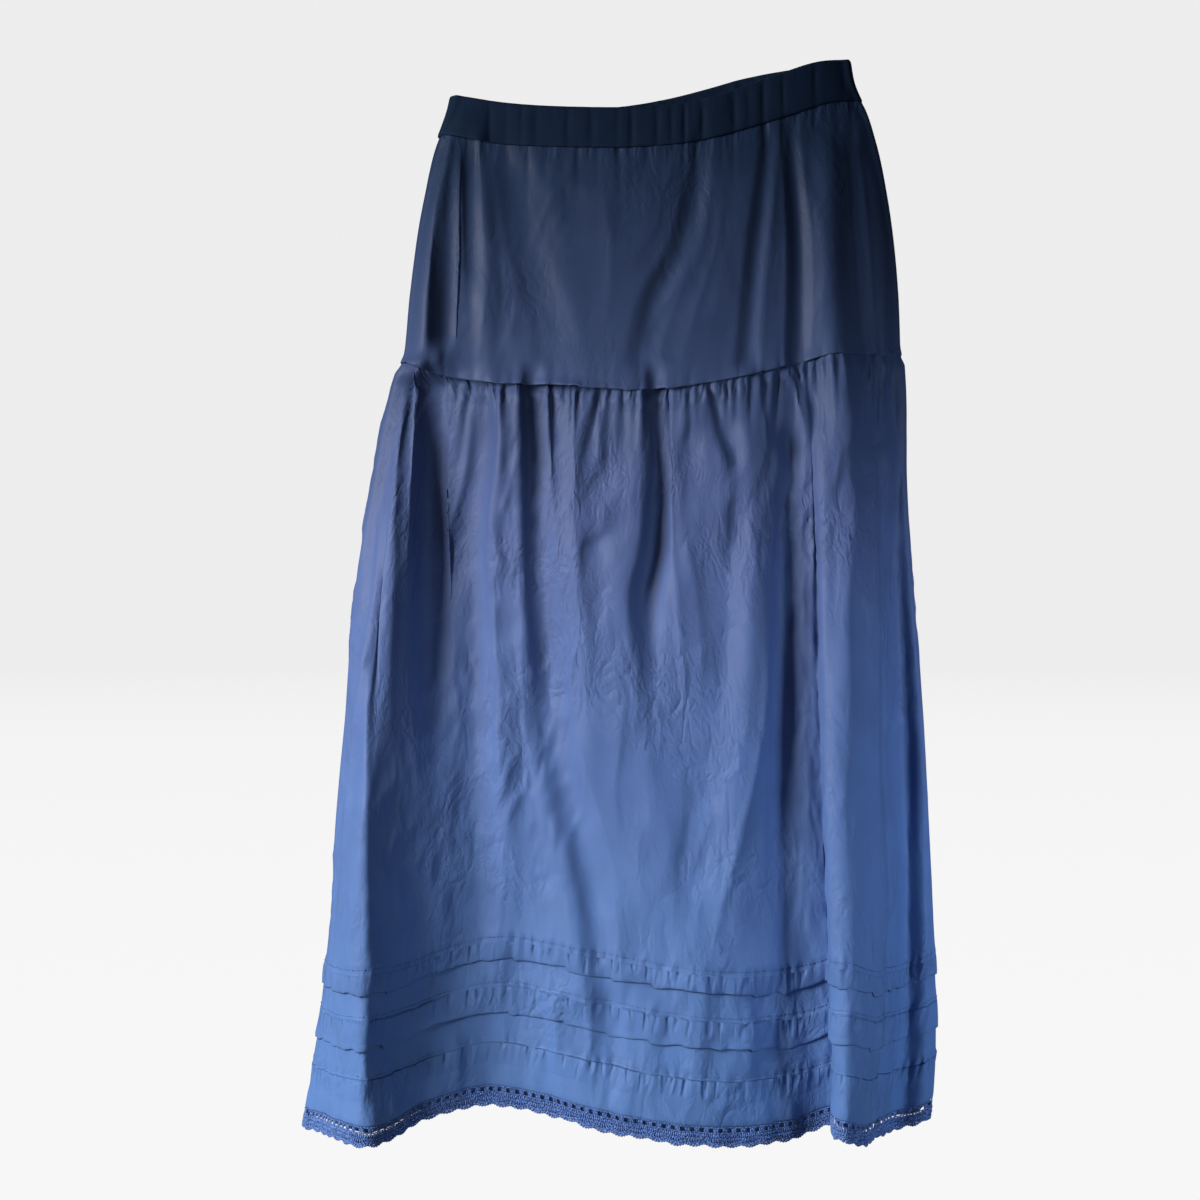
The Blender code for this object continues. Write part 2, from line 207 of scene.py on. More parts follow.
def formLine(half, downOf):
    # one level of the front or the back: x, y, z, distance across, then how far down each seam runs
    start = math.radians(skirtForm["leftSeam"])
    end = math.pi - math.radians(skirtForm["rightSeam"])
    if half == "back":
        end -= 2 * math.pi
    angle = np.linspace(start, end, skirtForm["fineness"])
    cosine, sine = np.cos(angle), np.sin(angle)
    front = sine >= 0
    sideways = np.sign(cosine) * abs(cosine) ** skirtForm["sideRound"]
    share = (1 - sideways) / 2
    down = downOf(front, share)
    sections, pipe = skirtForm["sections"], skirtForm["pipe"]
    left, right, frontDepth, backDepth = (through(column(sections, n), down) for n in (1, 2, 3, 4))
    x = (left + right) / 2 - (right - left) / 2 * sideways
    y = -np.sign(sine) * np.where(front, frontDepth, backDepth) * abs(sine) ** skirtForm["frontRound"]
    inward = softStep(abs(sine), 0.02, 0.45)
    frontRelief, backRelief = (foldRelief(largeFolds[side], x, down) for side in ("front", "back"))
    y -= np.where(front, frontRelief, -backRelief) * inward
    pipeX, pipeOut, pipeHalf, lean = (through(column(pipe, n), down) for n in (1, 2, 3, 4))
    q = np.clip((x - pipeX) / pipeHalf, -1, 1)
    fullness = np.clip(pipeOut / pipeHalf - 0.4, 0, 1)
    full = np.sqrt(1 - q * q) * softStep(1 - abs(q), -0.001, 0.3)
    soft = 0.5 + 0.5 * np.cos(math.pi * q)
    rise = np.where(front, full * fullness + soft * (1 - fullness), 0)
    y -= pipeOut * rise * (1 - skirtForm["pipeTilt"] * fullness * (q + 1) / 2)
    x = x + skirtForm["pipeBulge"] * pipeHalf * fullness * q * np.sin(math.pi * rise) - lean * rise
    # across is x over the front and the back, and goes on round the two sides
    middle = len(x) // 2
    stepX, stepY = np.diff(x), np.diff(y)
    facing = (inward[1:] + inward[:-1]) / 2
    step = stepX * facing + np.hypot(stepX, stepY) * (1 - facing)
    across = np.concatenate([[0], np.cumsum(step)])
    across += x[middle] - across[middle]
    seams = [seamDown(name, front, share) for name in ("bandTop", "yoke", "hem")]
    line = np.stack([x, y, -down, across, *seams], axis=1)
    return line, lengthAlong(line[:, :3])


def formGrid(half, shares, levels):
    # the form's points at these shares of each level, and what the folds and seams there depend on
    grid = np.empty((len(levels), len(shares), 11))
    side = 1 if half == "front" else -1
    for row, downOf in enumerate(levels):
        line, along = formLine(half, downOf)
        place = along[-1] * shares
        for n in range(7):
            grid[row, :, n] = np.interp(place, along, line[:, n])
        slopeX, slopeY = (np.interp(place, along, np.gradient(line[:, n], along)) for n in (0, 1))
        steep = np.hypot(slopeX, slopeY)
        grid[row, :, 7] = side * slopeY / steep
        grid[row, :, 8] = -side * slopeX / steep
        grid[row, :, 9] = np.minimum(place, along[-1] - place)
        grid[row, :, 10] = place - along[len(along) // 2]
    names = ("x", "y", "z", "across", "bandTop", "yoke", "hem", "outX", "outY", "fromSide", "along")
    return {name: grid[:, :, n] for n, name in enumerate(names)}


def level(name, extra):
    return lambda front, across: seamDown(name, front, across) + extra


def between(upper, lower, share):
    def downOf(front, across):
        return upper(front, across) * (1 - share) + lower(front, across) * share
    return downOf


# Gathers under the yoke: x, depth, half width, length, drift for each 100 down
tierGathers = {
    "front": [
        (-207, 2.2, 2.6, 60, -4), (-191, 1.8, 2.4, 45, -3), (-177, 3.2, 4.2, 120, -5),
        (-155, 2.6, 2.6, 190, -14), (-144, 1.8, 2.2, 40, -2), (-133, 1.9, 2.4, 60, -3),
        (-121, 2.6, 3.4, 75, 0), (-104, 3.4, 5, 170, 1), (-84, 2.6, 3.4, 70, 2),
        (-75, 1.5, 2, 34, 0), (-69, 1.8, 2.2, 48, -1), (-60, 2, 2.6, 55, -2),
        (-44, 3.6, 4, 110, -15), (-36, 1.9, 2.4, 60, -2), (-24, 2.2, 2.8, 52, 1),
        (-15, 1.7, 2.2, 40, 0), (-5, 3.2, 3.4, 150, 0), (3, 1.8, 2, 38, 2),
        (11, 2.2, 2.6, 60, 3), (30, 2.6, 3, 72, 4), (38, 1.8, 2.2, 40, 3),
        (46, 3, 3.2, 130, 30), (62, 2.2, 2.8, 55, 3), (69, 1.6, 2.2, 42, 2),
        (82, 2.4, 3, 64, 0), (93, 2, 2.6, 50, -3), (107, 3.8, 4.6, 190, -8),
        (120, 2, 2.2, 70, 30), (129, 1.8, 2.2, 44, 4), (136, 1.8, 2.2, 40, 3),
        (144, 1.6, 2, 36, 3), (153, 2.4, 2.8, 90, 4), (162, 1.8, 2.4, 44, 3),
        (174, 2.6, 3.2, 85, 5), (187, 2.2, 2.8, 60, 6), (199, 2, 2.6, 55, 5),
    ],
    "back": [],
}
gatherSpread = 4.5    # how much wider a gather's half is 100 down

rng = np.random.default_rng(41)
place = -205.0
while place < 205:
    tierGathers["back"].append((place, rng.uniform(1.6, 3.6), rng.uniform(2.2, 4.2),
                                rng.choice([40, 55, 75, 130, 190]), rng.uniform(-6, 6)))
    place += rng.uniform(8.5, 15.5)

# Sharper creases: height (a trough is less than 0), half width, then down and x of its points
tierCreases = {
    "front": [
        (-9, 5, [(90, -211), (200, -211), (276, -211), (342, -211), (432, -211), (491, -212),
            (600, -206)]),
        (-12.5, 9, [(90, -175), (190, -173), (240, -175), (284, -181), (357, -188), (432, -193),
            (600, -196)]),
        (-6.4, 2.5, [(226, -154), (298, -156), (328, -160), (351, -166), (370, -171), (394, -175),
            (450, -178)]),
        (3, 7, [(262, -130), (380, -136), (500, -130), (640, -122)]),
        (-13, 10, [(150, -106), (220, -106), (270, -105), (330, -106), (390, -106), (458, -101),
            (560, -94)]),
        (-10.5, 9, [(400, -104), (458, -101), (524, -89), (590, -76), (657, -64), (723, -51), (789, -43),
            (850, -41)]),
        (-7.6, 4, [(240, -47), (284, -43), (313, -44), (328, -51), (350, -62)]),
        (-3.9, 3, [(332, -40), (352, -38), (367, -42), (377, -55), (395, -57), (408, -63)]),
        (-11, 4.4, [(200, -8), (236, -7), (272, -3), (298, -1), (328, -3), (357, -7), (380, -9),
            (424, -20), (480, -14)]),
        (-5, 6, [(400, -16), (472, -9), (501, -7), (541, -2), (620, 4)]),
        (-5.6, 3.8, [(238, 26), (262, 31), (276, 31), (293, 24), (310, 21), (328, 26), (366, 19)]),
        (-6.2, 3.8, [(252, 48), (281, 49), (298, 56), (313, 62), (333, 67), (350, 62), (365, 62),
            (387, 58), (415, 54)]),
        (-5.3, 3, [(234, 64), (266, 66), (292, 62)]),
        (-5.3, 2.6, [(222, 92), (262, 92), (290, 94), (318, 91)]),
        (-6, 5.6, [(226, 111), (269, 109), (328, 103), (387, 100), (441, 97), (520, 97), (615, 93),
            (690, 84)]),
        (3, 1.9, [(232, 110), (254, 120), (290, 131)]), (-6.2, 2.4, [(214, 126), (254, 129), (296, 132)]),
        (2.4, 2.6, [(270, 131), (340, 133), (400, 133), (470, 133), (560, 136)]),
        (-6.3, 4.6, [(236, 138), (300, 143), (360, 144), (440, 142), (520, 142)]),
        (5, 9, [(226, 154), (300, 164), (360, 166), (430, 160), (520, 158), (570, 158)]),
        (3, 3.6, [(410, 91), (524, 90), (590, 78), (673, 57), (740, 44)]),
        (-5.3, 3.6, [(232, 166), (280, 166), (305, 157), (331, 151), (360, 146)]),
        (-5.3, 2.8, [(228, 181), (259, 187), (280, 186), (306, 180)]),
        (-7.7, 3.4, [(290, 184), (400, 187), (500, 189), (600, 188), (680, 184)]),
        (-3.4, 3.6, [(300, 30), (350, 24), (400, 34), (470, 42), (540, 38)]),
        (2, 4.6, [(280, 10), (360, 14), (440, 22), (520, 26)]),
        (-3.6, 3.4, [(470, -30), (520, -24), (590, -30), (640, -22)]),
        (-3.4, 4.6, [(540, 20), (600, 26), (660, 18), (720, 22)]),
        (-4.2, 6, [(300, -152), (380, -156), (460, -160), (560, -166), (700, -170), (800, -172)]),
        (-3.4, 3.2, [(390, -140), (450, -137), (500, -144), (560, -140)]),
        (-3.4, 3.4, [(600, -128), (650, -122), (700, -126), (760, -118)]),
        (-2.8, 3, [(300, 142), (350, 148), (420, 146), (480, 152)]),
        (-3.1, 3.4, [(430, 160), (520, 162), (600, 156), (680, 160)]),
        (-10, 4.4, [(60, -226), (276, -230), (340, -240), (450, -242), (520, -237), (600, -233),
            (708, -230), (800, -229), (900, -228)]),
        (4, 2.6, [(290, -228), (352, -235), (400, -236), (458, -240), (487, -243), (543, -251),
            (594, -256), (680, -263)]),
        (-6.3, 3.4, [(290, -236), (352, -243), (400, -244), (458, -248), (487, -251), (543, -259),
            (594, -264), (680, -271)]),
        (-5.6, 5, [(706, -190), (750, -192), (806, -190)]),
        (-7, 4.4, [(765, -164), (800, -161), (850, -158)]), (-7, 5, [(740, -52), (780, -50), (830, -52)]),
        (-5, 4, [(750, -80), (780, -77), (812, -78)]), (-7, 5, [(740, -232), (790, -232), (850, -236)]),
        (-5, 4.4, [(700, -120), (760, -124), (820, -118)]), (-5.3, 4, [(740, 2), (790, 4), (842, 0)]),
        (-4.5, 4.4, [(700, 40), (760, 44), (836, 38)]), (-5.6, 4.6, [(720, 78), (780, 82), (850, 76)]),
    ],
    "back": [
        (-2.6, 4, [(270, -150), (360, -156), (450, -150), (560, -158)]),
        (-2.2, 3.6, [(262, -60), (330, -52), (410, -58), (520, -50), (640, -56)]),
        (2, 4.4, [(300, -30), (400, -36), (520, -30), (640, -40)]),
        (-2.8, 4.6, [(262, 20), (340, 14), (430, 22), (540, 18), (680, 26)]),
        (-2, 3.2, [(262, 70), (320, 78), (390, 72)]),
        (-2.4, 4, [(300, 120), (400, 126), (500, 120), (620, 130), (740, 128)]),
        (1.8, 4, [(300, 170), (420, 176), (560, 182), (700, 190)]),
        (-1.8, 3.4, [(440, -100), (520, -108), (600, -104), (700, -112)]),
        (-1.6, 3.4, [(560, 60), (620, 66), (700, 60), (780, 66)]),
        (-1.6, 3.6, [(380, -200), (460, -206), (560, -212), (680, -222)]),
    ],
}
yokeCreases = {
    "front": [
        (-8, 3.6, [(-10, -167), (40, -171), (80, -174), (125, -175), (185, -177), (260, -178)]),
        (-4.6, 3, [(20, -162), (48, -161), (95, -158), (125, -156), (190, -153)]),
        (-4.3, 6.5, [(90, -190), (150, -190), (250, -188)]),
        (-1.7, 5, [(20, -138), (48, -136), (73, -130), (110, -124), (147, -115), (177, -107), (200, -100),
            (240, -94)]),
        (-1.5, 7, [(40, -112), (110, -93), (147, -78), (185, -64), (220, -52)]),
        (1.1, 8, [(40, -146), (100, -140), (170, -128), (230, -116)]),
        (-1.1, 2.4, [(78, -75), (96, -74), (114, -76)]), (-1.1, 2.2, [(44, -66), (60, -66), (76, -65)]),
        (-1, 3, [(44, -3), (59, -14), (80, -19)]),
        (-1.4, 4, [(40, 22), (53, 20), (84, 12), (116, 3), (141, -14), (160, -18)]),
        (-1.3, 5, [(130, 8), (177, -6), (225, -15)]),
        (-2, 4.4, [(36, 48), (49, 46), (91, 36), (150, 28), (200, -1), (250, -7)]),
        (-2, 4, [(16, 106), (32, 105), (91, 103), (150, 95), (240, 86)]),
        (-1.7, 4, [(36, 124), (49, 128), (116, 145), (230, 139)]),
        (-1.7, 2, [(20, 165), (39, 166), (130, 171), (240, 177)]),
        (-1.4, 2.6, [(24, 187), (41, 191), (91, 199), (240, 197)]),
        (0.9, 3.2, [(30, 177), (90, 182), (150, 186), (220, 188)]),
        (0.8, 5, [(60, 62), (120, 56), (180, 38), (230, 24)]),
        (-0.9, 4, [(110, 64), (160, 58), (230, 44)]), (-0.8, 3, [(150, -134), (190, -140), (240, -146)]),
        (0.7, 6, [(70, -40), (130, -34), (200, -38)]),
    ],
    "back": [
        (-1, 3, [(44, -130), (100, -108), (170, -92), (224, -80)]),
        (-1, 3, [(36, 76), (90, 56), (150, 34), (216, 18)]),
        (-0.8, 2.8, [(44, -40), (100, -46), (170, -42)]),
        (-1, 2.8, [(24, 140), (90, 150), (150, 156), (210, 160)]),
        (0.8, 3.6, [(60, 0), (130, -8), (200, -2)]), (-0.7, 2.6, [(110, -150), (160, -156), (214, -160)]),
    ],
}


# Short puckers that the elastic and the seams draw up: place across, depth, half width, length
def makePuckers(seed, closest, widest, depths, halfWidths, lengths):
    rng = np.random.default_rng(seed)
    found, place = [], -280.0
    while place < 280:
        found.append((place, rng.uniform(*depths), rng.uniform(*halfWidths), rng.uniform(*lengths)))
        place += rng.uniform(closest, widest)
    return found


puckers = {}
for half, seed, bandPuckers in (
    ("front", 5, (9, 30, (0.5, 1.6), (1.4, 3.6))),
    ("back", 15, (11, 34, (0.4, 1.3), (1.5, 4.0))),
):
    puckers[half] = {
        "underBand": makePuckers(seed, 8, 19, (0.3, 1.3), (1.8, 3.6), (12, 60)),
        "overSeam": makePuckers(seed + 1, 8, 15, (0.4, 1.3), (1.6, 2.8), (6, 20)),
        "band": makePuckers(seed + 2, *bandPuckers, (16, 34)),
        "tierFine": makePuckers(seed + 3, 5, 11, (0.7, 2.6), (1.2, 2.0), (6, 24)),
    }


def puckerRelief(found, across, away, spread):
    # away is the distance from the seam that draws the cloth up
    out = np.zeros_like(across)
    for centre, depth, halfWidth, length in found:
        width = halfWidth + spread * np.clip(away, 0, 100) / 100
        fade = np.exp(-(np.clip(away, 0, None) / length) ** 1.5)
        out -= depth * fade / (1 + ((across - centre) / width) ** 2) ** 1.5
    return out


def gatherRelief(half, across, below):
    # below is the distance down from the yoke seam. Each trough is narrow at the seam and opens out below
    opened = 0.45 + 0.55 * softStep(below, 0, 9)
    out = np.zeros_like(across)
    for centre, depth, halfWidth, length, drift in tierGathers[half]:
        length = 0.6 * min(length, 100)
        width = 0.65 * halfWidth + gatherSpread * np.clip(below, 0, 200) / 100
        away = (across - centre - drift * below / 100) / width
        away = np.where(away < 0, away / 0.8, away / 1.4)
        fade = np.exp(-(np.clip(below, 0, None) / length) ** 1.4)
        out -= 1.4 * depth * opened * fade / (1 + away ** 2) ** 1.5
        out += 0.3 * depth * opened * fade * np.exp(-(abs(away) - 2.1) ** 2)
    return out


def creaseRelief(creases, across, down):
    out = np.zeros_like(across)
    for height, halfWidth, track in creases:
        length = track[-1][0] - track[0][0]
        shown = softStep(down, track[0][0] - 4, track[0][0] + 0.3 * length)
        shown = shown * (1 - softStep(down, track[-1][0] - 0.35 * length, track[-1][0] + 4))
        away = across - through(track, down)
        if height > 0:
            out += height * shown / (1 + (away / halfWidth) ** 2) ** 1.5
            continue
        # a trough drops sharply on its left, flattens out, and comes back slowly on its right
        reach = 3 + 1.5 * halfWidth
        past = 0.5 * (away + np.sqrt(away * away + (0.4 * halfWidth) ** 2))
        fall = 0.5 * (1 - np.exp(-past / (0.3 * reach))) + 0.5 * (1 - np.exp(-past / (1.2 * reach)))
        out += height * shown * fall * (1 - softStep(away, 1.3 * reach, 5 * reach))
    return out


def ridged(a, b, seed):
    # soft-edged ridges and valleys, between -1 and 1
    return 1 - 2 * np.sqrt(smoothNoise(a, b, seed) ** 2 + 0.012)


def crinkle(along, down, seed):
    # crumpled thin cloth, in millimetres: ridges that run down it, bent and broken up, at three sizes
    bend = 11 * smoothNoise(along / 55, down / 60, seed)
    bend += 5 * smoothNoise(along / 24, down / 26, seed + 1)
    place = along + bend
    large = ridged(place / 29, down / 80 + 0.004 * along, seed + 2)
    middle = ridged((place + 0.3 * down) / 16, (down - 0.4 * along) / 30, seed + 3)
    small = ridged((place - 0.25 * down) / 8.5, (down + 0.3 * along) / 14, seed + 4)
    patches = softStep(smoothNoise(along / 48, down / 85, seed + 5), -0.5, 0.6)
    return 0.8 * large + patches * (1.3 * middle + 0.7 * small)


# How a loose edge waves: the length of each wave, then how far it moves, in millimetres
looseEdge = {
    "sway": {"length": 38, "out": 1.5, "down": 2.2},
    "flutter": {"length": 9, "out": 1.1, "down": -1.0},
    "steps": {"length": 34, "down": 3.2},
    "seed": 71,
}


# The side seams, in millimetres: the front's edge stands out and laps over the back's
sideSeam = {
    "flat": 14,    # how far from the seam the folds die away
    "lip": {"front": 2, "back": -1.8},
    "lipFrom": 4,
    "lipWidth": 3.5,
    "lipStart": 3,
    "turnedIn": 0.9,
    "turnedWidth": 2.6,
}


def panelPoints(half, shares, rows, relief):
    # rows: (level, how far out, how much of a loose edge). relief gives the cloth's own folds there
    grid = formGrid(half, shares, [row[0] for row in rows])
    out = np.array([row[1] for row in rows], float)[:, None] * np.ones(len(shares))
    loose = np.array([row[2] for row in rows], float)[:, None] * np.ones(len(shares))
    folds, swell = relief(half, grid)
    fromSide = grid["fromSide"]
    seam = softStep(fromSide, 0, sideSeam["flat"])
    lip = np.exp(-((fromSide - sideSeam["lipFrom"]) / sideSeam["lipWidth"]) ** 2) * sideSeam["lip"][half]
    lip *= softStep(fromSide, 0, sideSeam["lipStart"])
    turned = sideSeam["turnedIn"] * (1 - softStep(fromSide, 0, sideSeam["turnedWidth"]))
    height = out + swell + folds * seam + lip - turned
    along, z, seed = grid["along"], grid["z"], looseEdge["seed"]
    swayKind, flutterKind, stepKind = looseEdge["sway"], looseEdge["flutter"], looseEdge["steps"]
    sway = smoothNoise(along / swayKind["length"] + 0.013 * z, 3.5, seed)
    flutter = smoothNoise(along / flutterKind["length"] + 0.02 * z, 8.5, seed + 1)
    height += loose * seam * (swayKind["out"] * sway + flutterKind["out"] * flutter)
    turn = along / stepKind["length"] + 0.8 * smoothNoise(along / 61, 5.5, seed + 2)
    stepped = (turn - np.floor(turn) - 0.5) * (0.5 + smoothNoise(np.floor(turn), 2.0, seed + 3))
    hanging = swayKind["down"] * sway + flutterKind["down"] * flutter + stepKind["down"] * stepped
    points = np.stack([
        grid["x"] + grid["outX"] * height,
        grid["y"] + grid["outY"] * height,
        z + loose * seam * hanging,
    ], axis=2)
    return points, grid


def clothPiece(name, half, points, wall, material, along, below):
    # a grid primitive, moved to the panel's points, with the cloth's thickness inside it
    down, across = points.shape[:2]
    turned = -1 if half == "back" else 1
    placed = points[::-1, ::turned]
    sewn = np.stack([along, below], axis=2)[::-1, ::turned] * mm
    bpy.ops.object.select_all(action="DESELECT")
    bpy.ops.mesh.primitive_grid_add(x_subdivisions=across - 1, y_subdivisions=down - 1, size=1)
    piece = bpy.context.object
    piece.name = name
    mesh = piece.data
    mesh.name = name
    mesh.vertices.foreach_set("co", (placed * mm).reshape(-1))
    # the cut of the cloth in metres: its mean length across and its mean length up
    lengthAcross = np.linalg.norm(np.diff(placed, axis=1), axis=2).mean(axis=0)
    lengthUp = np.linalg.norm(np.diff(placed, axis=0), axis=2).mean(axis=1)
    u = np.concatenate([[0], np.cumsum(lengthAcross)]) * mm
    v = np.concatenate([[0], np.cumsum(lengthUp)]) * mm
    flat = np.stack(np.meshgrid(u, v), axis=2).reshape(-1, 2)
    corner = np.empty(len(mesh.loops), int)
    mesh.loops.foreach_get("vertex_index", corner)
    mesh.uv_layers[0].name = "cut"
    mesh.uv_layers[0].data.foreach_set("uv", flat[corner].reshape(-1))
    mesh.uv_layers.new(name="sewn").data.foreach_set("uv", sewn.reshape(-1, 2)[corner].reshape(-1))
    thicken = piece.modifiers.new("Thickness", "SOLIDIFY")
    thicken.offset = -1
    thicken.thickness = wall * mm
    bpy.ops.object.modifier_apply(modifier=thicken.name)
    bpy.ops.object.shade_smooth()
    mesh.materials.append(material)
    return piece


def evenShares(half, count, levels):
    # even lengths of cloth over several levels, closer together where it bends
    share = np.linspace(0, 1, skirtForm["fineness"])
    total = np.zeros(len(share))
    for downOf in levels:
        line, along = formLine(half, downOf)
        place = np.stack([np.interp(share * along[-1], along, line[:, n]) for n in (0, 1)], axis=1)
        steps = np.diff(place, axis=0)
        bend = abs(np.gradient(np.unwrap(np.arctan2(steps[:, 1], steps[:, 0]))))
        measure = 1 / len(steps) + 0.35 * bend / bend.sum()
        total += np.concatenate([[0], np.cumsum(measure)])
    return np.interp(np.linspace(0, total[-1], count), total, share)


def newMaterial(name, values):
    material = bpy.data.materials.new(name)
    material.use_nodes = True
    shader = material.node_tree.nodes["Principled BSDF"]
    for field, value in values.items():
        shader.inputs[field].default_value = value
    return material, material.node_tree, shader


def addNode(tree, kind, inputs, **settings):
    # each input is given its value, or the output that feeds it
    node = tree.nodes.new("ShaderNode" + kind)
    for name, value in settings.items():
        setattr(node, name, value)
    for name, value in inputs.items():
        if isinstance(value, bpy.types.NodeSocket):
            tree.links.new(value, node.inputs[name])
        else:
            node.inputs[name].default_value = value
    return node


def noise(tree, place, scale, detail, distortion=0):
    inputs = {"Vector": place, "Scale": scale, "Detail": detail, "Distortion": distortion}
    return addNode(tree, "TexNoise", inputs).outputs["Fac"]


def remapped(tree, value, before, after=(0, 1)):
    inputs = {"Value": value, "From Min": before[0], "From Max": before[1]}
    inputs |= {"To Min": after[0], "To Max": after[1]}
    return addNode(tree, "MapRange", inputs).outputs["Result"]


def stretched(tree, place, scale, turn=0):
    inputs = {"Vector": place, "Scale": scale, "Rotation": (0, 0, turn)}
    return addNode(tree, "Mapping", inputs).outputs["Vector"]


def worked(tree, operation, *values):
    return addNode(tree, "Math", dict(enumerate(values)), operation=operation).outputs[0]


def bumped(tree, height, strength, distance, under=None):
    inputs = {"Height": height, "Strength": strength, "Distance": distance}
    if under is not None:
        inputs["Normal"] = under
    return addNode(tree, "Bump", inputs).outputs["Normal"]


def colourRamp(tree, factor, stops):
    # stops: place from 0 to 1, then the colour there
    ramp = addNode(tree, "ValToRGB", {"Fac": factor})
    elements = ramp.color_ramp.elements
    for element, (place, colour) in zip((elements[0], elements[1]), (stops[0], stops[-1])):
        element.position = place
        element.color = (*colour, 1)
    for place, colour in stops[1:-1]:
        elements.new(place).color = (*colour, 1)
    return ramp.outputs["Color"]


# What the cloth's material adds to its shape. Scales count along the cloth, in 1 / metre
clothSurface = {
    "blotches": {"scale": 26, "detail": 5, "range": (0.3, 0.7), "shade": (0.93, 1.07)},
    "patches": {"scale": 9, "detail": 2, "range": (0.42, 0.64), "least": 0.2},
    "smoothYoke": {"height": (-0.34, -0.22), "share": (1, 0.35)},
    # rounded bumps with sharp grooves between them, at two sizes: scale, depth
    "crumples": [((46, 24, 1), 0.0072), ((150, 90, 1), 0.0024)],
    "crumpleTurn": 0.12,
    # short ticks that hang from each line of sewing, hardly any under the waistband
    "ticks": {"scale": (125, 26, 1), "range": (0.32, 0.5), "length": 0.02, "depth": 0.0032},
    "fewTicks": {"height": (-0.26, -0.2), "share": 0.3},
    "weave": {"scale": 1400, "detail": 2, "depth": 0.0002},
}


def clothMaterial(name, colours, roughness, gloss, crumple, weave):
    # colours: height in metres, then the colour there
    material, tree, shader = newMaterial(name, {"Roughness": roughness, "Specular IOR Level": gloss})
    place = addNode(tree, "TexCoord", {}).outputs["Object"]
    cut = addNode(tree, "UVMap", {}, uv_map="cut").outputs["UV"]
    sewn = addNode(tree, "UVMap", {}, uv_map="sewn").outputs["UV"]
    height = addNode(tree, "SeparateXYZ", {0: place}).outputs["Z"]
    # the colour by height: on the skirt it is partly the dye and partly painted shade, darker towards the
    # waist
    low, high = colours[0][0], colours[-1][0]
    stops = [((z - low) / (high - low), colour) for z, colour in colours]
    plain = colourRamp(tree, remapped(tree, height, (low, high)), stops)
    kind = clothSurface["blotches"]
    shade = remapped(tree, noise(tree, place, kind["scale"], kind["detail"]), kind["range"], kind["shade"])
    dyeAndPaintedShade = addNode(tree, "Mix", {"Factor": 1, "A": plain, "B": shade}, data_type="RGBA", blend_type="MULTIPLY")
    tree.links.new(dyeAndPaintedShade.outputs["Result"], shader.inputs["Base Color"])

    kind = clothSurface["patches"]
    patches = noise(tree, cut, kind["scale"], kind["detail"])
    strength = remapped(tree, patches, kind["range"], (kind["least"] * crumple, crumple))
    kind = clothSurface["smoothYoke"]
    strength = worked(tree, "MULTIPLY", strength, remapped(tree, height, kind["height"], kind["share"]))
    under = None
    for scale, depth in clothSurface["crumples"]:
        bumps = noise(tree, stretched(tree, cut, scale, clothSurface["crumpleTurn"]), 1, 2.5, 0.5)
        grooved = worked(tree, "ABSOLUTE", worked(tree, "SUBTRACT", bumps, 0.5))
        under = bumped(tree, grooved, strength, depth, under)

    kind = clothSurface["ticks"]
    fromSewing = addNode(tree, "SeparateXYZ", {0: sewn}).outputs["Y"]
    fades = remapped(tree, fromSewing, (0, kind["length"]), (1, 0))
    ticks = remapped(tree, noise(tree, stretched(tree, sewn, kind["scale"]), 1, 1), kind["range"])
    most, few = min(1, crumple), clothSurface["fewTicks"]
    shown = remapped(tree, height, few["height"], (most, few["share"] * most))
    under = bumped(tree, worked(tree, "MULTIPLY", ticks, fades), shown, kind["depth"], under)
    kind = clothSurface["weave"]
    threads = noise(tree, cut, kind["scale"], kind["detail"])
    tree.links.new(bumped(tree, threads, weave, kind["depth"], under), shader.inputs["Normal"])
    return material


# Colours are linear: nearly black navy at the waist to mid blue at the hem. The darkening towards the waist
# is partly the dye and partly painted shade
skirtCloth = clothMaterial("skirt cloth", [
    (-0.87, (0.075, 0.160, 0.395)),
    (-0.65, (0.071, 0.134, 0.33)),
    (-0.42, (0.063, 0.100, 0.247)),
    (-0.30, (0.044, 0.068, 0.168)),
    (-0.20, (0.025, 0.042, 0.104)),
    (-0.04, (0.0078, 0.0175, 0.046)),
], roughness=0.5, gloss=0.1, crumple=0.9, weave=0.25)
bandCloth = clothMaterial("waistband cloth", [
    (-0.04, (0.0045, 0.0105, 0.026)),
    (0.04, (0.004, 0.0095, 0.024)),
], roughness=0.7, gloss=0.03, crumple=0.3, weave=0.3)

